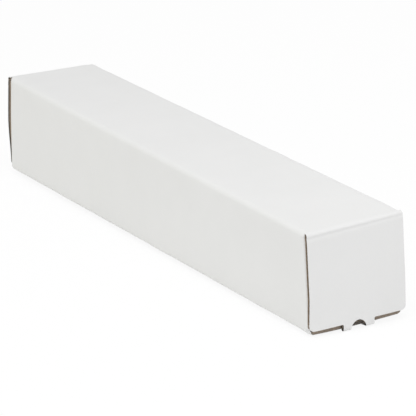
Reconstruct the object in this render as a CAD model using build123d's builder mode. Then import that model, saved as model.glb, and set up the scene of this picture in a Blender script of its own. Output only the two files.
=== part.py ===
from build123d import *
import os
from math import cos, radians, sin

# Long shipping box, folded from one sheet of white-faced corrugated board.
# Millimetres, +Z up, +X towards the front end, origin below the middle, level with the tabs the box stands on.

# Driving sizes
inside_length = 508.0
inside_width = 78.8
inside_height = 76.2
board = 3.1
fold_inner = 1.0
crease_inner = 0.2
lap_width = 20.0
dust_flap_length = 24.0
dust_flap_corner = 7.0
flap_corner = 4.0
tab_width = 27.0
tab_corner = 5.0
tongue_width = 21.0
tongue_shoulder = 4.5
tongue_run = 11.0
tongue_tip = 12.0
tongue_rise = 12.0
finger_hole_width = 13.6
finger_hole_height = 7.5
finger_hole_reach = 13.7
lock_bridge = 9.0
lock_corner = 2.0

# Named clearances
crease_gap = 0.45
flap_gap = 0.5
slit = 0.8
flap_side_gap = 0.9
flap_foot_gap = 0.9
tab_gap = 0.3
lock_gap = 0.7
seam_gap = 0.6

# Sizes that follow from them
fold_radius = board + fold_inner
crease_radius = board + crease_inner
width = inside_width + 2 * board
height = inside_height + 2 * board
tube_end = inside_length / 2 + board
half_length = tube_end + flap_gap + board
top_end = half_length - crease_radius - crease_gap
slit_top = height - fold_radius
dust_low = fold_radius + slit
dust_high = height - dust_low
dust_tip = width / 2 - board - dust_flap_length
flap_width = width - 2 * flap_side_gap
flap_foot = board + flap_foot_gap
tab_foot = -board - tab_gap
rise = radians(tongue_rise)
tab_end = half_length - crease_radius
tongue_reach = crease_radius + tongue_run + fold_radius * sin(rise) + tongue_tip * cos(rise)
lock_outer = tube_end - lock_bridge
tongue_end = half_length - tongue_reach
lock_inner = tongue_end - lock_gap
lock_middle = (lock_outer + lock_inner) / 2

os.makedirs("parts", exist_ok=True)

# Tube: four panels and the glued lap run round the section, with two dust flaps folded in at each end
with BuildPart() as tube:
    # Dust flaps, each turned in round a scored fold at the end of a side panel
    with BuildSketch(Plane.XY.offset(dust_low)) as dust_plan:
        with BuildLine():
            turn = JernArc((tube_end - fold_radius, -width / 2), (1, 0), fold_radius, 90)
            Line(turn @ 1, (tube_end, -dust_tip))
            offset(amount=board, side=Side.LEFT)
        make_face()
        mirror(about=Plane.XZ)
        mirror(about=Plane.YZ)
    extrude(amount=dust_high - dust_low)
    fillet(tube.edges().filter_by(Axis.X), radius=dust_flap_corner)

    # Section of the wrapped sheet: the lap turns up from the bottom panel, glued inside the back panel
    with BuildSketch(Plane.YZ) as section:
        with BuildLine():
            FilletPolyline((0, 0), (-width / 2, 0), (-width / 2, height), (0, height), radius=fold_radius)
            offset(amount=board, side=Side.RIGHT)
        make_face()
        with BuildLine():
            FilletPolyline((0, height), (width / 2, height), (width / 2, seam_gap), radius=fold_radius)
            offset(amount=board, side=Side.RIGHT)
        make_face()
        with BuildLine():
            FilletPolyline((width / 2 - board, lap_width), (width / 2 - board, 0), (0, 0), radius=fold_radius)
            offset(amount=board, side=Side.RIGHT)
        make_face()
    extrude(section.sketch, amount=tube_end - fold_radius, both=True)

    # Top and bottom panels run on past the slits that free the dust flaps
    with BuildSketch(Plane.YZ) as top_rim:
        add(section.sketch_local)
        with Locations((0, slit_top)):
            Rectangle(2 * width, 2 * height, align=(Align.CENTER, Align.MAX), mode=Mode.SUBTRACT)
    extrude(top_rim.sketch, amount=top_end, both=True)
    with BuildSketch(Plane.YZ) as bottom_rim:
        add(section.sketch_local)
        with Locations((0, fold_radius)):
            Rectangle(2 * width, 2 * height, align=(Align.CENTER, Align.MIN), mode=Mode.SUBTRACT)
        with Locations((width / 2 - board, 0)):
            Rectangle(width, height, align=(Align.MIN, Align.MIN), mode=Mode.SUBTRACT)
    extrude(bottom_rim.sketch, amount=tube_end, both=True)

    # Lock slot near each end of the bottom panel, where the tip of the tongue turns up
    with BuildSketch(Plane.XY) as lock_slots:
        with Locations((lock_middle, 0), (-lock_middle, 0)):
            RectangleRounded(lock_outer - lock_inner, tongue_width + 2 * lock_gap, lock_corner)
    extrude(lock_slots.sketch, amount=board, mode=Mode.SUBTRACT)

# Front closing flap: hinged on the top panel, its tab turned in under the bottom panel
with BuildPart() as front_end_flap:
    with BuildSketch(Plane.XZ) as flap_section:
        with BuildLine():
            top_fold = JernArc((half_length - crease_radius, height), (1, 0), crease_radius, -90)
            drop = Line(top_fold @ 1, (half_length, tab_foot + crease_radius))
            tab_fold = JernArc(drop @ 1, drop % 1, crease_radius, -90)
            run = Line(tab_fold @ 1, tab_fold @ 1 + (tab_fold % 1) * tongue_run)
            tip_fold = JernArc(run @ 1, run % 1, fold_radius, -tongue_rise)
            Line(tip_fold @ 1, tip_fold @ 1 + (tip_fold % 1) * tongue_tip)
            offset(amount=board, side=Side.RIGHT)
        make_face()
    extrude(amount=flap_width / 2, both=True)

    # Outline seen from the end: rounded lower corners, and the tab in the middle
    with BuildSketch(Plane.YZ) as outline:
        with Locations((0, flap_foot)):
            plate = Rectangle(flap_width, height, align=(Align.CENTER, Align.MIN))
        fillet(plate.vertices().sort_by(Axis.Y)[:2], radius=flap_corner)
        with Locations((0, flap_foot + flap_corner)):
            Rectangle(tab_width, height / 2, align=(Align.CENTER, Align.MAX))
    extrude(outline.sketch, amount=2 * half_length, mode=Mode.INTERSECT)

    # Outline seen from above: the tongue narrows from the fold and has a rounded tip
    with BuildSketch(Plane.XY.offset(-height)) as plan:
        with BuildLine():
            shoulder = Polyline(
                (tab_end, -tab_width / 2),
                (tab_end - tongue_shoulder, -tongue_width / 2),
                (tongue_end, -tongue_width / 2),
                (tongue_end, 0),
            )
            mirror(shoulder, about=Plane.XZ)
            Line((tab_end, -tab_width / 2), (tab_end, tab_width / 2))
        make_face()
        fillet(plan.vertices().sort_by(Axis.X)[:2], radius=tab_corner)
        with Locations((tab_end, 0)):
            Rectangle(2 * fold_radius, 2 * width, align=(Align.MIN, Align.CENTER))
    extrude(plan.sketch, amount=3 * height, mode=Mode.INTERSECT)

    # Finger hole across the tab's fold: a low arch in the face, drawn out along the tongue
    fold_corner = Plane((half_length, 0, tab_foot), x_dir=(0, 1, 0), z_dir=(-1, 0, 1))
    slant = cos(radians(45))
    with BuildSketch(fold_corner) as finger_hole:
        with BuildLine():
            EllipticalCenterArc((0, 0), finger_hole_width / 2, finger_hole_reach * slant, 0, arc_size=180)
            EllipticalCenterArc((0, 0), finger_hole_width / 2, finger_hole_height * slant, 180, arc_size=180)
        make_face()
    extrude(finger_hole.sketch, amount=2 * finger_hole_reach, both=True, mode=Mode.SUBTRACT)

# Rear closing flap: the same flap at the other end
with BuildPart() as rear_end_flap:
    mirror(front_end_flap.part, about=Plane.YZ)

# The box stands on its tongues, so the solids are raised until their undersides are level with the origin
folded = {"tube": tube, "front_end_flap": front_end_flap, "rear_end_flap": rear_end_flap}
for name, piece in folded.items():
    standing = Pos(0, 0, -tab_foot) * piece.part
    standing.label = name
    export_step(standing, f"parts/{name}.step")
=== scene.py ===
"""Long shipping box: cuts, scores and folds white-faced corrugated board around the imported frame."""
import math

import bmesh
import bpy
import numpy as np
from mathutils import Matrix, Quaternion, Vector
from mathutils.geometry import delaunay_2d_cdt


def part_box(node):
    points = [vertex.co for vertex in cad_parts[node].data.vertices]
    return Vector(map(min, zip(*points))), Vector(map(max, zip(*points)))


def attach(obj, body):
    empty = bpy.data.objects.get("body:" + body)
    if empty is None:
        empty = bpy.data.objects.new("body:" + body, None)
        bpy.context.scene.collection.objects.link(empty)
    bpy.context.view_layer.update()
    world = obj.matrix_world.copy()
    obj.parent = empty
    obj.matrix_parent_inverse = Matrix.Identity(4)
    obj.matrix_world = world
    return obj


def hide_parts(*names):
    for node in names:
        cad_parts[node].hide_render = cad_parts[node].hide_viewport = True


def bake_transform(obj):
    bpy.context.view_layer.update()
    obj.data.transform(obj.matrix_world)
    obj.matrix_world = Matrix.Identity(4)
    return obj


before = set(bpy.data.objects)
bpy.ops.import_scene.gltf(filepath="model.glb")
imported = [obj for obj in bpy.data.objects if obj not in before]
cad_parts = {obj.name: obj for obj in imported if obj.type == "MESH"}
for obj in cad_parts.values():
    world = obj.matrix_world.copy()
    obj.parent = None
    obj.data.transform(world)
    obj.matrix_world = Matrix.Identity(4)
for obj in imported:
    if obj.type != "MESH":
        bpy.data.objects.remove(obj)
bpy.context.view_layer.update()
tube_low, tube_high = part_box("tube")
flap_low, flap_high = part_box("front_end_flap")

MM = 0.001
PI = math.pi

# The two ends of the box, by the sign of x there
FRONT, REAR = 1, -1

# Sizes read from the frame
WIDTH = tube_high.y - tube_low.y
HEIGHT = tube_high.z - tube_low.z
TUBE_END = tube_high.x
HALF_LENGTH = flap_high.x
STAND = tube_low.z
TAB_DROP = tube_low.z - flap_low.z
TONGUE_END = flap_low.x
SOLID_FLAP_WIDTH = flap_high.y - flap_low.y

# Board, folds and cuts, as in the solids
BOARD = 3.1 * MM
FOLD = 4.1 * MM
CREASE_FOLD = 3.3 * MM
CREASE = 0.45 * MM
SEAM_GAP = 0.6 * MM
LAP_WIDTH = 20 * MM
DUST_FLAP = 24 * MM
DUST_CORNER = 7 * MM
FLAP_FOOT = 4.0 * MM
FLAP_CORNER = 4 * MM
TAB_WIDTH = 27 * MM
TAB_CORNER = 5 * MM
TONGUE_WIDTH = 21 * MM
TONGUE_SHOULDER = 4.5 * MM
TONGUE_RUN = 11 * MM
TONGUE_RISE = math.radians(12)
TONGUE_LENGTH = 12 * MM
HOLE_WIDTH = 13.6 * MM
HOLE_REACH = 13.7 * MM
LOCK_BRIDGE = 9 * MM
LOCK_CORNER = 2 * MM
LOCK_GAP = 0.7 * MM

# Cuts of the real box that are a little off the solids
HOLE_HEIGHT = 8.5 * MM
HOLE_ASIDE = -0.4 * MM
FLAP_SPREAD = 0.25 * MM
FOOT_DIP = 0.5 * MM
NECK_CORNER = 1.2 * MM
SHOULDER_CORNER = 1 * MM
OPEN_SLIT = 0.15 * MM
LAP_SETBACK = 1 * MM
LAP_BEVEL = LAP_WIDTH / 3

# The real box as it stands: racked and twisted a little, and sunk on to its squeezed tongues
TWIST = math.radians(1.4)
RACK = 0.0126
SINK = 0.3 * MM
SQUEEZE = 1.4 * MM
REAR_LEAN = 1.0 * MM

# The tongues pull the closing flaps' lower corners in, more at the front side panel than at the back one
FRONT_PULL = 1.5 * MM
FRONT_PULL_HEIGHT = 30 * MM
REAR_PULL = 2.6 * MM
REAR_PULL_HEIGHT = 40 * MM
PULL_SLANT = 0.5

# The dust flaps give way behind them, and at the rear they are set in a little
DUST_FOLLOW = 0.9
DUST_BEND = 9 * MM
FULL_TURN = 0.4
REAR_GAP = 0.4 * MM
REAR_GAP_LENGTH = 20 * MM

# The rear flap's back corner has been bumped
BUMPED_CORNER = 1.3 * MM
BUMP_DOWN = 7 * MM
BUMP_ACROSS = 9 * MM

# The four long folds sway, from the lap's fold on, and two of them lean, more towards the front end
FOLD_SWAYS = (0.1 * MM, 0.15 * MM, 0.4 * MM, 0.15 * MM)
FOLD_SWAY_LENGTH = 75 * MM
FOLD_SLACK = 0.6
FOLD_REACH = 5 * MM
FOLD_SEED = 11
TOP_BACK_LEAN = 0.12 * MM
BOTTOM_FRONT_LIFT = 0.32 * MM
LEAN_GAIN = 0.36 * MM
LEAN_REACH = 12 * MM

# The panels are dented and hollow, and the bottom sags; near its ends the tube is held nearly true
DENT = 0.2 * MM
DENT_LENGTH = 160 * MM
DENT_SEED = 31
SLANTED_DENT = 0.5
SLANTED_DENT_LENGTH = 240 * MM
SLANTED_DENT_WAVES = 1.3
SLANTED_DENT_SEED = 41
HOLLOW = 0.15 * MM
BOTTOM_SAG = 0.45 * MM
HELD_LENGTH = 22 * MM

# Make-up of an uneven curve
WAVES = 5
SLOWEST_WAVE, FASTEST_WAVE = 0.5, 2.2
WAVE_GAIN = 1.4

# The score along a closing flap's crease: a ridge above the fold and a groove below it
RIDGE = 0.12 * MM
RIDGE_GAIN = 0.3 * MM
RIDGE_ABOVE = 1.2 * MM
RIDGE_REACH = 1.5 * MM
GROOVE = 0.45 * MM
GROOVE_BELOW = 1.2 * MM
GROOVE_SHIFT = 1.6 * MM
GROOVE_REACH = 1.4 * MM
SCORED = 5 * MM

# Papers of the board: two liners with a wavy sheet between them, whose flutes are crushed shut behind a cut
LINER = 0.32 * MM
WAVY_SHEET = 0.26 * MM
WAVY_INSETS = (0.1 * MM, 2 * MM, 5.5 * MM)
FLUTE_PITCH = 6.5 * MM
FLUTE_DEPTH = 5 * MM
CRUSHED_INSET = 0.3 * MM
CRUSHED_PAPER = 0.3 * MM
CRUSHED_START = LINER * 0.9

# Places in the list of papers; a darker paper of painted shade goes on cuts that lie in shadow
WHITE, KRAFT, WAVY, PAINTED_SHADE = range(4)
DARK_SIDE_START = 12 * MM
JUST_PAST = 1 * MM

# How closely the boards are meshed
CUT_STEP_ALONG = 1.3 * MM
CUT_STEP_ACROSS = 0.7 * MM
CUT_MARGIN = 0.45 * MM
CUT_PROBE = 0.05 * MM
CORNER_POINTS = 9
HOLE_POINTS = 64
FOLD_STEP = 0.65 * MM
DUST_FOLD_STEP = 0.8 * MM
CREASE_STEP = 0.5 * MM
PANEL_STEP = 5 * MM
FLAP_STEP = 3 * MM
SHARP_ANGLE = math.radians(40)

# Places that follow from the sizes
QUARTER = PI / 2 * FOLD
TOP_END = HALF_LENGTH - CREASE_FOLD - CREASE
DUST_FOLD = TUBE_END - FOLD
DUST_TIP = DUST_FOLD + QUARTER + BOARD + DUST_FLAP - FOLD
LOCK_OUTER = TUBE_END - LOCK_BRIDGE
LOCK_INNER = TONGUE_END - LOCK_GAP
LAP_END = DUST_FOLD - LAP_SETBACK
FLAP_WIDTH = SOLID_FLAP_WIDTH + 2 * FLAP_SPREAD

# Distances round the girth, from the edge of the glued lap to the back panel's lower edge
LAP_STOP = LAP_WIDTH - FOLD
BOTTOM_START = LAP_STOP + QUARTER
BOTTOM_MIDDLE = BOTTOM_START + WIDTH / 2 - BOARD - FOLD
BOTTOM_STOP = BOTTOM_START + WIDTH - BOARD - 2 * FOLD
FRONT_START = BOTTOM_STOP + QUARTER
FRONT_STOP = FRONT_START + HEIGHT - 2 * FOLD
TOP_START = FRONT_STOP + QUARTER
TOP_STOP = TOP_START + WIDTH - 2 * FOLD
BACK_START = TOP_STOP + QUARTER
BACK_FOOT = BACK_START + HEIGHT - 2 * FOLD
BACK_STOP = BACK_START + HEIGHT - FOLD - SEAM_GAP
FOLDS = [
    (LAP_STOP, BOTTOM_START),
    (BOTTOM_STOP, FRONT_START),
    (FRONT_STOP, TOP_START),
    (TOP_STOP, BACK_START),
]
DENTED_PANELS = [(FRONT_START, FRONT_STOP), (TOP_START, TOP_STOP), (BACK_START, BACK_STOP)]
SIDES = [(FRONT_START, FRONT_STOP), (BACK_START, BACK_FOOT)]

# Distances along a closing flap, from the crease on the top panel to the tip of the tongue
CREASE_QUARTER = PI / 2 * CREASE_FOLD
PLATE_START = CREASE + CREASE_QUARTER
PLATE_STOP = PLATE_START + HEIGHT - 2 * CREASE_FOLD + TAB_DROP
FOOT = PLATE_START + HEIGHT - CREASE_FOLD - FLAP_FOOT
RUN_START = PLATE_STOP + CREASE_QUARTER
RUN_STOP = RUN_START + TONGUE_RUN
TIP_START = RUN_STOP + FOLD * TONGUE_RISE
TONGUE_TIP = TIP_START + TONGUE_LENGTH
HOLE_MIDDLE = PLATE_STOP + CREASE_QUARTER / 2

# Colours of the papers, each between a dark and a pale one
WHITE_DARK, WHITE_PALE = (0.765, 0.767, 0.762, 1), (0.835, 0.834, 0.832, 1)
LINER_DARK, LINER_PALE = (0.33, 0.26, 0.19, 1), (0.42, 0.33, 0.25, 1)
FLUTE_DARK, FLUTE_PALE = (0.31, 0.255, 0.205, 1), (0.40, 0.33, 0.27, 1)
# The darkest kraft is painted shade, for cuts that lie in shadow
PAINTED_SHADE_DARK, PAINTED_SHADE_PALE = (0.12, 0.105, 0.09, 1), (0.18, 0.16, 0.14, 1)
WHITE_CLOUD, WHITE_FIBRE = 60 * MM, 1.6 * MM
KRAFT_CLOUD, KRAFT_FIBRE = 18 * MM, 0.9 * MM

# The white floor and the light
FLOOR_SIZE = 12
FLOOR_LEVEL = 0.3 * MM
FLOOR_COLOUR = (0.96, 0.96, 0.96, 1)
FLOOR_GLOW = 0.9
TENT_LIGHT = 0.7
SOFT_BOX_PLACE = Vector((0.39, -0.168, 0.905)) * 2
SOFT_BOX_SIZE = 1.2
SOFT_BOX_POWER = 14.4
SIDE_FILL_PLACE = Vector((-1.2, -1.5, 0.3))
SIDE_FILL_SIZE = 0.8
SIDE_FILL_POWER = 2.2
SIDE_FILL_COLOUR = (1, 1, 0.65)

# Where the photograph was taken from
CAMERA_AZIMUTH = math.radians(62.013)
CAMERA_ELEVATION = math.radians(17.613)
CAMERA_ROLL = math.radians(-1.9)
CAMERA_DISTANCE = 2.918
CAMERA_AIM = Vector((9.82, 8.14, 29.01)) * MM
LENS = 310.5
SENSOR = 36
FARTHEST_SEEN = 50


class FoldedLine:
    """A board's outer face seen edge on: straight runs, each followed by a bend to the right."""

    def __init__(self, start, heading, runs):
        self.legs = []
        point, ahead, mark = np.array(start, float), np.array(heading, float), 0.0
        for length, bend, radius in runs:
            self.legs.append((mark, point, ahead, None))
            point, mark = point + ahead * length, mark + length
            if bend:
                self.legs.append((mark, point, ahead, radius))
                right = np.array([ahead[1], -ahead[0]])
                point = point + radius * (right * (1 - math.cos(bend)) + ahead * math.sin(bend))
                ahead, mark = ahead * math.cos(bend) + right * math.sin(bend), mark + radius * bend

    def at(self, distance):
        """Points and outward normals at these distances along the line."""
        points, normals = np.zeros((len(distance), 2)), np.zeros((len(distance), 2))
        for mark, point, ahead, radius in self.legs:
            here = distance >= mark if mark > 0 else np.ones(len(distance), bool)
            run = (distance[here] - mark)[:, None]
            right = np.array([ahead[1], -ahead[0]])
            turn = run / radius if radius else np.zeros_like(run)
            onward = radius * np.sin(turn) if radius else run
            inward = radius * (1 - np.cos(turn)) if radius else 0 * run
            points[here] = point + ahead * onward + right * inward
            normals[here] = ahead * np.sin(turn) - right * np.cos(turn)
        return points, normals


GIRTH = FoldedLine(
    (WIDTH / 2 - BOARD, LAP_WIDTH),
    (0, -1),
    [
        (LAP_STOP, PI / 2, FOLD),
        (BOTTOM_STOP - BOTTOM_START, PI / 2, FOLD),
        (FRONT_STOP - FRONT_START, PI / 2, FOLD),
        (TOP_STOP - TOP_START, PI / 2, FOLD),
        (BACK_STOP - BACK_START, 0, 0),
    ],
)
SIDE_RUN = FoldedLine((0, 0), (1, 0), [(DUST_FOLD, PI / 2, FOLD), (DUST_TIP - DUST_FOLD - QUARTER, 0, 0)])
FLAP_RUN = FoldedLine(
    (TOP_END, HEIGHT),
    (1, 0),
    [
        (CREASE, PI / 2, CREASE_FOLD),
        (PLATE_STOP - PLATE_START, PI / 2, CREASE_FOLD),
        (TONGUE_RUN, TONGUE_RISE, FOLD),
        (TONGUE_LENGTH, 0, 0),
    ],
)


def ripple(along, seed):
    """A smooth uneven curve between about -1 and 1; along is in wavelengths."""
    dice = np.random.RandomState(seed)
    paces = dice.uniform(SLOWEST_WAVE, FASTEST_WAVE, WAVES)
    starts = dice.uniform(0, 2 * PI, WAVES)
    total = np.zeros_like(along)
    for pace, start in zip(paces, starts):
        total += np.sin(2 * PI * pace * along + start)
    return total / WAVES * WAVE_GAIN


def ease(value):
    """Runs smoothly from 0 to 1 as the value does."""
    held = np.clip(value, 0, 1)
    return held * held * (3 - 2 * held)


def near(value, middle, reach):
    """1 at the middle, falling softly to 0 beyond the reach."""
    return np.exp(-(((value - middle) / reach) ** 2))


def across_panel(s, start, stop):
    """Runs from 0 at one fold of a panel to 1 at the next."""
    return np.clip((s - start) / (stop - start), 0, 1)


def tube_unevenness(x, s):
    """How far handling has pushed the wrapped board out or in."""
    push = np.zeros_like(s)
    for number, ((start, stop), sway) in enumerate(zip(FOLDS, FOLD_SWAYS)):
        waver = ripple(x / FOLD_SWAY_LENGTH, FOLD_SEED + number) - FOLD_SLACK
        push += near(s, (start + stop) / 2, FOLD_REACH) * sway * waver
    lean = LEAN_GAIN * x / HALF_LENGTH
    push += near(s, (TOP_STOP + BACK_START) / 2, LEAN_REACH) * (TOP_BACK_LEAN + lean)
    lifted = near(s, (BOTTOM_STOP + FRONT_START) / 2, LEAN_REACH) * (BOTTOM_FRONT_LIFT + lean)
    for number, (start, stop) in enumerate(DENTED_PANELS):
        across = across_panel(s, start, stop)
        dent = ripple(x / DENT_LENGTH, DENT_SEED + number)
        slanted = across * SLANTED_DENT_WAVES + x / SLANTED_DENT_LENGTH
        dent += SLANTED_DENT * ripple(slanted, SLANTED_DENT_SEED + number)
        push += np.sin(PI * across) * (DENT * dent - HOLLOW)
    sag = np.sin(PI * across_panel(s, BOTTOM_START, BOTTOM_STOP)) * BOTTOM_SAG
    away = ease((TOP_END - np.abs(x)) / HELD_LENGTH)
    return push * away + sag - lifted * (1 + away) / 2


def settle(points):
    """Racks and twists the section, leans the rear end in at the top and lets the box sink."""
    angle = TWIST * points[:, 0] / HALF_LENGTH
    y, z = points[:, 1], points[:, 2] - HEIGHT / 2
    rear_top = ease(-2 * points[:, 0] / HALF_LENGTH - 1) * ease(2 * z / HEIGHT)
    y = y + REAR_LEAN * rear_top * (0.5 - y / WIDTH)
    turned_y = y * np.cos(angle) - z * np.sin(angle)
    turned_z = y * np.sin(angle) + z * np.cos(angle) + RACK * y
    return np.column_stack([points[:, 0], turned_y, turned_z + HEIGHT / 2 + STAND - SINK])


def side_share(s):
    """How much a line along the box turns in with the dust flaps: fully on the sides, less at the folds."""
    share = np.zeros_like(s)
    for start, stop in SIDES:
        below = (start - s) / QUARTER
        if start == FRONT_START:
            # The upper part of the lower front fold turns in fully
            below = (below - FULL_TURN) / (1 - FULL_TURN)
        share = np.maximum(share, 1 - ease(np.maximum(below, (s - stop) / QUARTER)))
    return share


def dust_lean(x, s):
    """How far the lower part of a dust flap is pressed in by the closing flap."""
    height = np.minimum(s - FRONT_START, BACK_FOOT - s)
    slanted = np.where(s < TOP_START, 1 + PULL_SLANT, 1 - PULL_SLANT)
    most = np.where(x > 0, FRONT_PULL, REAR_PULL) * slanted
    pressed = ease(1 - height / np.where(x > 0, FRONT_PULL_HEIGHT, REAR_PULL_HEIGHT))
    return DUST_FOLLOW * most * pressed * ease((np.abs(x) - DUST_FOLD - QUARTER) / DUST_BEND)


def rear_gap(x, s):
    """How far the rear dust flaps are set in: not at all at the front panel's foot, and fully further up."""
    most = np.where(x < 0, REAR_GAP, 0) * ease((s - FRONT_START) / REAR_PULL_HEIGHT)
    return most * ease((np.abs(x) - DUST_FOLD) / REAR_GAP_LENGTH + 1)


def place_tube(flat, depth):
    """Folds flat points (along the box, round the girth) at a depth below the outer face."""
    x, s = flat[:, 0], flat[:, 1]
    section, out = GIRTH.at(s)
    turned, turned_facing = SIDE_RUN.at(np.abs(x))
    share = side_share(s)[:, None]
    depth = depth + dust_lean(x, s)
    run = share * turned + (1 - share) * np.column_stack([np.abs(x), np.zeros_like(x)])
    facing = share * turned_facing + (1 - share) * np.array([0, 1])
    facing /= np.linalg.norm(facing, axis=1)[:, None]
    along = np.sign(x) * (run[:, 0] - depth * facing[:, 0] - rear_gap(x, s) * share[:, 0])
    outward = run[:, 1] - depth * facing[:, 1] + tube_unevenness(x, s)
    return settle(np.column_stack([along, section + out * outward[:, None]]))


def score(down, across):
    """How far the scored crease stands out across a closing flap; it is crisper towards one side."""
    crisp = 0.5 + across / FLAP_WIDTH
    above = PLATE_START - RIDGE_ABOVE * (1 + crisp)
    below = PLATE_START + GROOVE_BELOW - GROOVE_SHIFT * crisp
    ridge = (RIDGE + RIDGE_GAIN * crisp) * near(down, above, RIDGE_REACH)
    return ridge - GROOVE * near(down, below, GROOVE_REACH)


def place_flap(end):
    """Folding for the closing flap at one end."""
    most, rise, bump = FRONT_PULL, FRONT_PULL_HEIGHT, 0
    if end == REAR:
        most, rise, bump = REAR_PULL, REAR_PULL_HEIGHT, BUMPED_CORNER

    def place(flat, depth):
        down, across = flat[:, 0], flat[:, 1]
        run, out = FLAP_RUN.at(down)
        aside = 2 * across / FLAP_WIDTH
        corner = aside ** 2 * (1 - PULL_SLANT * end * aside)
        pull = most * corner * ease((down - FOOT) / rise + 1)
        squeezed = ease((down - PLATE_STOP) / CREASE_QUARTER)
        depth = depth + squeezed * SQUEEZE * (1 - depth / BOARD)
        folded = run + out * np.reshape(score(down, across) - depth, (-1, 1)) - np.outer(pull, (1, 0))
        bumped = bump * near(down, 0, BUMP_DOWN) * ease(1 - (across + FLAP_WIDTH / 2) / BUMP_ACROSS)
        return settle(np.column_stack([end * folded[:, 0], end * across, folded[:, 1] - bumped]))

    return place


def rounded(here, before, after, radius):
    """The points of a cut round one corner."""
    if radius == 0:
        return [here]
    back, on = before - here, after - here
    back, on = back / np.linalg.norm(back), on / np.linalg.norm(on)
    half = math.acos(np.clip(back @ on, -1, 1)) / 2
    middle = here + (back + on) / np.linalg.norm(back + on) * radius / math.sin(half)
    first = here + back * radius / math.tan(half) - middle
    last = here + on * radius / math.tan(half) - middle
    sweep = PI - 2 * half
    points = []
    for t in np.linspace(0, 1, CORNER_POINTS):
        swung = first * math.sin((1 - t) * sweep) + last * math.sin(t * sweep)
        points.append(middle + swung / math.sin(sweep))
    return points


def cut_line(corners):
    """A closed cut through corners (along, across, radius), with short steps for the folds to bend."""
    places = [np.array(corner[:2]) for corner in corners]
    points = []
    for i, (here, corner) in enumerate(zip(places, corners)):
        points += rounded(here, places[i - 1], places[(i + 1) % len(places)], corner[2])
    dense = []
    for a, b in zip(points, points[1:] + points[:1]):
        along, across = np.abs(b - a)
        steps = max(1, math.ceil(along / CUT_STEP_ALONG), math.ceil(across / CUT_STEP_ACROSS))
        dense += [a + (b - a) * k / steps for k in range(steps)]
    return np.array(dense)


def spread(marks, fine, coarse, fine_spans):
    """Grid lines through the marks: close together inside the fine spans, further apart elsewhere."""
    slack = 1e-9
    lines = [marks[0]]
    for a, b in zip(marks, marks[1:]):
        is_fine = any(low - slack <= a and b <= high + slack for low, high in fine_spans)
        count = math.ceil((b - a) / (fine if is_fine else coarse))
        lines += list(np.linspace(a, b, max(1, count) + 1)[1:])
    return np.array(lines)


def inside(points, loop):
    """Which points lie inside a closed loop."""
    a, b = loop, np.roll(loop, -1, axis=0)
    within = np.zeros(len(points), bool)
    for (ax, ay), (bx, by) in zip(a, b):
        if ay != by:
            crosses = (ay > points[:, 1]) != (by > points[:, 1])
            within ^= crosses & (points[:, 0] < (bx - ax) * (points[:, 1] - ay) / (by - ay) + ax)
    return within


def clear_of(points, loop, margin):
    """Which points lie further than the margin from every point of a loop, tried a batch at a time."""
    batch = 500
    keep = np.ones(len(points), bool)
    for start in range(0, len(points), batch):
        part = points[start:start + batch]
        nearest = np.min(np.sum((part[:, None] - loop[None]) ** 2, axis=2), axis=1)
        keep[start:start + batch] = nearest > margin ** 2
    return keep


def triangulate(outline, holes, lines_along, lines_across):
    """Flat points and triangles that fill the outline around the holes."""
    grid = np.stack(np.meshgrid(lines_along, lines_across), -1).reshape(-1, 2)
    loops = [outline, *holes]
    grid = grid[inside(grid, outline)]
    for loop in loops:
        grid = grid[clear_of(grid, loop, CUT_MARGIN)]
    for hole in holes:
        grid = grid[~inside(grid, hole)]
    points, edges = [], []
    for loop in loops:
        first, count = len(points), len(loop)
        points += [Vector(p) / MM for p in loop]
        edges += [(first + i, first + (i + 1) % count) for i in range(count)]
    points += [Vector(p) / MM for p in grid]
    inside_only, merge_distance = 1, 1e-5
    found = delaunay_2d_cdt(points, edges, [list(range(len(outline)))], inside_only, merge_distance)
    flat = np.array([p[:] for p in found[0]]) * MM
    faces = np.array(found[2])
    middles = flat[faces].mean(1)
    for hole in holes:
        keep = ~inside(middles, hole)
        faces, middles = faces[keep], middles[keep]
    return flat, faces


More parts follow.
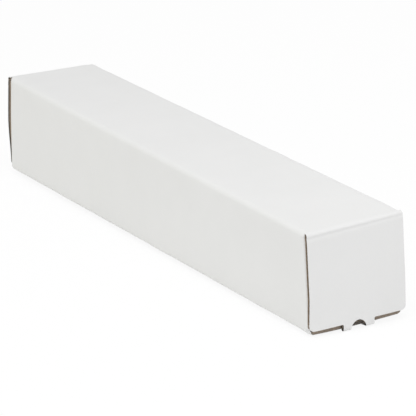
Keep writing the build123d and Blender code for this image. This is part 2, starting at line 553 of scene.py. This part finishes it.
class Board:
    """Gathers the papers of one piece of board into one mesh."""

    def __init__(self, place):
        self.place = place
        self.points = []
        self.faces = []
        self.papers = []

    def add(self, points, faces, papers):
        first = sum(len(p) for p in self.points)
        self.points.append(points)
        self.faces += [[first + i for i in face] for face in faces]
        self.papers += list(papers)

    def liner(self, flat, triangles, depth, face_paper, back_paper):
        """One flat paper, closed all round, its outer face at a depth."""
        count = len(flat)
        points = np.vstack([self.place(flat, depth), self.place(flat, depth + LINER)])
        seen = {}
        for a, b, c in triangles:
            for edge in ((a, b), (b, c), (c, a)):
                key = tuple(sorted(edge))
                seen[key] = None if key in seen else edge
        rim = [edge for edge in seen.values() if edge]
        faces = [list(t) for t in triangles]
        faces += [[count + i for i in reversed(t)] for t in triangles]
        faces += [[b, a, count + a, count + b] for a, b in rim]
        sizes = (len(triangles), len(triangles), len(rim))
        self.add(points, faces, np.repeat([face_paper, back_paper, face_paper], sizes))

    def ring(self, rows, papers):
        """A closed strip that follows a cut: four or more rows of points joined round."""
        count = len(rows[0])
        faces = []
        for i in range(count):
            j = (i + 1) % count
            for a in range(len(rows)):
                b = (a + 1) % len(rows)
                faces.append([a * count + i, a * count + j, b * count + j, b * count + i])
        self.add(np.vstack(rows), faces, np.repeat(papers, len(rows)))

    def cut_edge(self, loop, hole, painted_shade_at):
        """What a cut shows between the liners: the wavy sheet, and crushed paper that closes the flutes."""
        step = np.roll(loop, -1, axis=0) - np.roll(loop, 1, axis=0)
        step /= np.linalg.norm(step, axis=1)[:, None]
        inward = np.column_stack([-step[:, 1], step[:, 0]])
        if inside(loop[:1] + inward[:1] * CUT_PROBE, loop)[0] == hole:
            inward = -inward

        def row(inset, depth):
            return self.place(loop + inward * np.reshape(inset, (-1, 1)), depth)

        # Painted shade: cuts that lie in shadow get the darker paper
        papers = np.where(painted_shade_at(loop), PAINTED_SHADE, WAVY)
        swing = BOARD / 2 - LINER - WAVY_SHEET / 2
        wave = BOARD / 2 + swing * np.sin(2 * PI * loop[:, 0] / FLUTE_PITCH)
        face, back = wave - WAVY_SHEET / 2, wave + WAVY_SHEET / 2
        wavy_rows = [row(inset, face) for inset in WAVY_INSETS]
        wavy_rows += [row(inset, back) for inset in reversed(WAVY_INSETS)]
        self.ring(wavy_rows, papers)
        open_flutes = np.abs(step[:, 0])
        start = CRUSHED_INSET + FLUTE_DEPTH * open_flutes
        stop = start + CRUSHED_PAPER
        low, high = CRUSHED_START, BOARD - CRUSHED_START
        self.ring([row(start, low), row(stop, low), row(stop, high), row(start, high)], papers)

    def finish(self, name, papers):
        """The gathered papers as one object."""
        mesh = bpy.data.meshes.new(name)
        mesh.from_pydata(np.vstack(self.points).tolist(), [], self.faces)
        mesh.polygons.foreach_set("material_index", np.array(self.papers, np.int32))
        for paper in papers:
            mesh.materials.append(paper)
        shape = bmesh.new()
        shape.from_mesh(mesh)
        bmesh.ops.recalc_face_normals(shape, faces=shape.faces)
        shape.to_mesh(mesh)
        shape.free()
        mesh.polygons.foreach_set("use_smooth", np.ones(len(mesh.polygons), bool))
        mesh.set_sharp_from_angle(angle=SHARP_ANGLE)
        piece = bpy.data.objects.new(name, mesh)
        bpy.context.scene.collection.objects.link(piece)
        return piece


def make_board(name, outline, holes, lines_along, lines_across, place, papers, painted_shade_at, within=KRAFT):
    """Cuts a board to an outline and folds it; painted_shade_at says which cuts get the darker paper of
    painted shade.
    """
    flat, triangles = triangulate(outline, holes, lines_along, lines_across)
    board = Board(place)
    board.liner(flat, triangles, 0, WHITE, within)
    board.liner(flat, triangles, BOARD - LINER, within, KRAFT)
    board.cut_edge(outline, False, painted_shade_at)
    for loop in holes:
        board.cut_edge(loop, True, painted_shade_at)
    return board.finish(name, papers)


def tube_outline():
    """The wrapped sheet's cut: one end from the lap round to the back panel, then the other end."""
    cut = [
        (LAP_END - LAP_BEVEL, 0, 0),
        (LAP_END, LAP_STOP, 0),
        (TUBE_END, LAP_STOP, 0),
        (TUBE_END, FRONT_START, 0),
    ]
    for start, stop in SIDES:
        cut += [
            (DUST_FOLD, start, 0),
            (DUST_FOLD, start + OPEN_SLIT, 0),
            (DUST_TIP, start + OPEN_SLIT, DUST_CORNER),
            (DUST_TIP, stop - OPEN_SLIT, DUST_CORNER),
            (DUST_FOLD, stop - OPEN_SLIT, 0),
            (DUST_FOLD, stop, 0),
        ]
        if start == FRONT_START:
            cut += [(TOP_END, FRONT_STOP, 0), (TOP_END, BACK_START, 0)]
    cut += [(DUST_FOLD, BACK_STOP, 0)]
    return cut_line(cut + [(-x, s, radius) for x, s, radius in reversed(cut)])


def lock_slot(end):
    """The slot near one end of the bottom panel that takes the tip of the tongue."""
    half = TONGUE_WIDTH / 2 + LOCK_GAP
    corners = [(LOCK_INNER, -half), (LOCK_OUTER, -half), (LOCK_OUTER, half), (LOCK_INNER, half)]
    return cut_line([(end * x, BOTTOM_MIDDLE + y, LOCK_CORNER) for x, y in corners])


def make_tube(papers):
    """The panels, the glued lap and the four dust flaps, folded from one board."""
    girth_marks = [0, *[mark for fold in FOLDS for mark in fold], BACK_STOP]
    girth_lines = spread(girth_marks, FOLD_STEP, PANEL_STEP, FOLDS)
    turn = DUST_FOLD + QUARTER
    length_marks = [-DUST_TIP, -turn, -DUST_FOLD, DUST_FOLD, turn, DUST_TIP]
    dust_folds = [(-turn, -DUST_FOLD), (DUST_FOLD, turn)]
    length_lines = spread(length_marks, DUST_FOLD_STEP, PANEL_STEP, dust_folds)

    # Painted shade on the bottom panel's raw end behind the tab, where the tab shades it
    def behind_tab(flat):
        at_end = np.abs(flat[:, 0]) > LOCK_OUTER + JUST_PAST
        return at_end & (np.abs(flat[:, 1] - BOTTOM_MIDDLE) < TAB_WIDTH / 2)

    slots = [lock_slot(FRONT), lock_slot(REAR)]
    outline = tube_outline()
    tube = make_board("tube_board", outline, slots, length_lines, girth_lines, place_tube, papers, behind_tab)
    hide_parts("tube")
    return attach(tube, "tube")


def flap_outline():
    """A closing flap's cut: down one side to the tip of the tongue, and up the other."""
    half, tab, tongue = FLAP_WIDTH / 2, TAB_WIDTH / 2, TONGUE_WIDTH / 2
    side = [
        (0, half, 0),
        (FOOT + FOOT_DIP, half, FLAP_CORNER),
        (FOOT, tab, NECK_CORNER),
        (RUN_START, tab, SHOULDER_CORNER),
        (RUN_START + TONGUE_SHOULDER, tongue, SHOULDER_CORNER),
        (TONGUE_TIP, tongue, TAB_CORNER),
    ]
    return cut_line([(down, -across, radius) for down, across, radius in side] + side[::-1])


def finger_hole():
    """The hole across the tab's fold: a low arch in the face, drawn out along the tongue."""
    turn = np.linspace(0, 2 * PI, HOLE_POINTS, endpoint=False)
    up = HOLE_HEIGHT - CREASE_FOLD + CREASE_QUARTER / 2
    along = HOLE_REACH - CREASE_FOLD + CREASE_QUARTER / 2
    reach = np.where(np.cos(turn) > 0, along, up)
    down = HOLE_MIDDLE + reach * np.cos(turn)
    return np.column_stack([down, HOLE_ASIDE + HOLE_WIDTH / 2 * np.sin(turn)])


def make_flap(name, body, end, papers):
    """A closing flap with its tab and tongue, which bends at the crease on the top panel."""
    half = FLAP_WIDTH / 2
    scored = PLATE_START + SCORED
    marks = [0, CREASE, PLATE_START, scored, PLATE_STOP, RUN_START, RUN_STOP, TIP_START, TONGUE_TIP]
    bends = [(CREASE, scored), (PLATE_STOP, RUN_START), (RUN_STOP, TIP_START)]
    down_lines = spread(marks, CREASE_STEP, FLAP_STEP, bends)
    across_lines = spread([-half, half], FLAP_STEP, FLAP_STEP, [])
    # At the rear, painted shade on the papers inside the board darkens the flap's side cuts as if in shadow
    within = PAINTED_SHADE if end == REAR else KRAFT

    # Painted shade on the rear flap's side cuts and on the cuts of the tab and tongue, where they lie in
    # shadow
    def painted_shade_at(flat):
        down, across = flat[:, 0], flat[:, 1]
        dark_side = (end == REAR) & (np.abs(across) > half - JUST_PAST) & (down > DARK_SIDE_START)
        return dark_side | (down > FOOT + JUST_PAST)

    outline, holes, place = flap_outline(), [finger_hole()], place_flap(end)
    flap = make_board(name, outline, holes, down_lines, across_lines, place, papers, painted_shade_at, within)
    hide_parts(body)
    if end == FRONT:
        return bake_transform(flap)
    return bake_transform(flap)


class Value:
    """A number or colour that varies over a surface, for use in Python expressions."""

    def __init__(self, finish, socket):
        self.finish = finish
        self.socket = socket

    def math(self, operation, first, second):
        return self.finish.node("Math", {"operation": operation}, {0: first, 1: second})

    def __add__(self, other):
        return self.math("ADD", self, other)

    def __radd__(self, other):
        return self.math("ADD", other, self)

    def __mul__(self, other):
        return self.math("MULTIPLY", self, other)

    def __rmul__(self, other):
        return self.math("MULTIPLY", other, self)


class Finish:
    """A material and the one method that adds its nodes."""

    def __init__(self, name):
        self.material = bpy.data.materials.new(name)
        self.material.use_nodes = True
        self.tree = self.material.node_tree
        self.tree.nodes.clear()

    def node(self, kind, settings=None, sockets=None, output=0):
        made = self.tree.nodes.new("ShaderNode" + kind)
        for name, setting in (settings or {}).items():
            setattr(made, name, setting)
        for name, value in (sockets or {}).items():
            if isinstance(value, Value):
                self.tree.links.new(value.socket, made.inputs[name])
            else:
                made.inputs[name].default_value = value
        return Value(self, made.outputs[output]) if made.outputs else made

    def mix(self, share, first, second):
        """One colour turning into another."""
        # A mix of colours has its sockets after those for numbers and vectors
        share_at, first_at, second_at, colour_out = 0, 6, 7, 2
        sockets = {share_at: share, first_at: first, second_at: second}
        return self.node("Mix", {"data_type": "RGBA"}, sockets, output=colour_out)

    def noise(self, place, size, detail=3, roughness=0.6):
        sockets = {"Vector": place, "Scale": 1 / size, "Detail": detail, "Roughness": roughness}
        return self.node("TexNoise", {}, sockets)

    def surface(self, shader):
        self.node("OutputMaterial", {}, {"Surface": shader})
        return self.material


def white_paper():
    """The bleached outer liner: soft and faintly mottled."""
    finish = Finish("white_liner")
    place = finish.node("TexCoord", output="Object")
    cloud = finish.noise(place, WHITE_CLOUD)
    fibre = finish.noise(place, WHITE_FIBRE, detail=5)
    colour = finish.mix(cloud * 0.6 + fibre * 0.4, WHITE_DARK, WHITE_PALE)
    height = fibre * 0.05 + cloud * 0.3
    bump = finish.node("Bump", {}, {"Strength": 0.35, "Distance": 0.2 * MM, "Height": height})
    roughness = 0.5 + fibre * 0.2
    sockets = {"Base Color": colour, "Roughness": roughness, "Normal": bump, "Specular IOR Level": 0.35}
    return finish.surface(finish.node("BsdfPrincipled", {}, sockets))


def kraft_paper(name, pale, dark):
    """Unbleached brown paper, mottled and fibrous."""
    finish = Finish(name)
    place = finish.node("TexCoord", output="Object")
    cloud = finish.noise(place, KRAFT_CLOUD)
    fibre = finish.noise(place, KRAFT_FIBRE, detail=5)
    colour = finish.mix(cloud * 0.5 + fibre * 0.5, dark, pale)
    bump = finish.node("Bump", {}, {"Strength": 0.4, "Distance": 0.15 * MM, "Height": fibre})
    roughness = 0.7 + fibre * 0.2
    sockets = {"Base Color": colour, "Roughness": roughness, "Normal": bump, "Specular IOR Level": 0.25}
    return finish.surface(finish.node("BsdfPrincipled", {}, sockets))


def make_floor():
    """A plain white floor that shows white where nothing shades it."""
    bpy.ops.mesh.primitive_plane_add(size=FLOOR_SIZE, location=(0, 0, FLOOR_LEVEL))
    floor = bpy.context.object
    floor.name = "floor"
    finish = Finish("floor_white")
    paper = finish.node("BsdfDiffuse", {}, {"Color": FLOOR_COLOUR})
    glow = finish.node("Emission", {}, {"Color": (1, 1, 1, 1), "Strength": 1.0})
    camera_ray = finish.node("LightPath", output="Is Camera Ray")
    shown = finish.node("MixShader", {}, {0: camera_ray * FLOOR_GLOW, 1: paper, 2: glow})
    floor.data.materials.append(finish.surface(shown))


def make_lamp(name, place, size, power, colour):
    """A round soft lamp that points at the box."""
    lamp = bpy.data.lights.new(name, "AREA")
    lamp.shape = "DISK"
    lamp.size = size
    lamp.energy = power
    lamp.color = colour
    holder = bpy.data.objects.new(name, lamp)
    holder.location = place
    holder.rotation_mode = "QUATERNION"
    holder.rotation_quaternion = (-holder.location).to_track_quat("-Z", "Y")
    bpy.context.scene.collection.objects.link(holder)


def make_light():
    """An even white tent of light, a soft box overhead and a weak warm one beside the far end."""
    world = bpy.data.worlds.new("tent")
    bpy.context.scene.world = world
    world.use_nodes = True
    tent = world.node_tree.nodes["Background"]
    tent.inputs["Color"].default_value = (1, 1, 1, 1)
    tent.inputs["Strength"].default_value = TENT_LIGHT
    make_lamp("soft_box", SOFT_BOX_PLACE, SOFT_BOX_SIZE, SOFT_BOX_POWER, (1, 1, 1))
    make_lamp("side_fill", SIDE_FILL_PLACE, SIDE_FILL_SIZE, SIDE_FILL_POWER, SIDE_FILL_COLOUR)


def make_camera():
    """The photograph's camera."""
    data = bpy.data.cameras.new("camera")
    data.sensor_width = SENSOR
    data.lens = LENS
    data.clip_end = FARTHEST_SEEN
    camera = bpy.data.objects.new("camera", data)
    level = math.cos(CAMERA_ELEVATION)
    back = Vector(
        (math.sin(CAMERA_AZIMUTH) * level, -math.cos(CAMERA_AZIMUTH) * level, math.sin(CAMERA_ELEVATION))
    )
    camera.location = CAMERA_AIM + back * CAMERA_DISTANCE
    camera.rotation_mode = "QUATERNION"
    camera.rotation_quaternion = (-back).to_track_quat("-Z", "Y") @ Quaternion((0, 0, 1), CAMERA_ROLL)
    bpy.context.scene.collection.objects.link(camera)
    bpy.context.scene.camera = camera


papers = [
    white_paper(),
    kraft_paper("kraft_liner", LINER_PALE, LINER_DARK),
    kraft_paper("kraft_flutes", FLUTE_PALE, FLUTE_DARK),
    # The last paper is a darker kraft of painted shade
    kraft_paper("kraft_painted_shade", PAINTED_SHADE_PALE, PAINTED_SHADE_DARK),
]
make_tube(papers)
make_flap("front_flap_board", "front_end_flap", FRONT, papers)
make_flap("rear_flap_board", "rear_end_flap", REAR, papers)
make_floor()
make_light()
make_camera()
bpy.context.scene.view_settings.view_transform = "Standard"
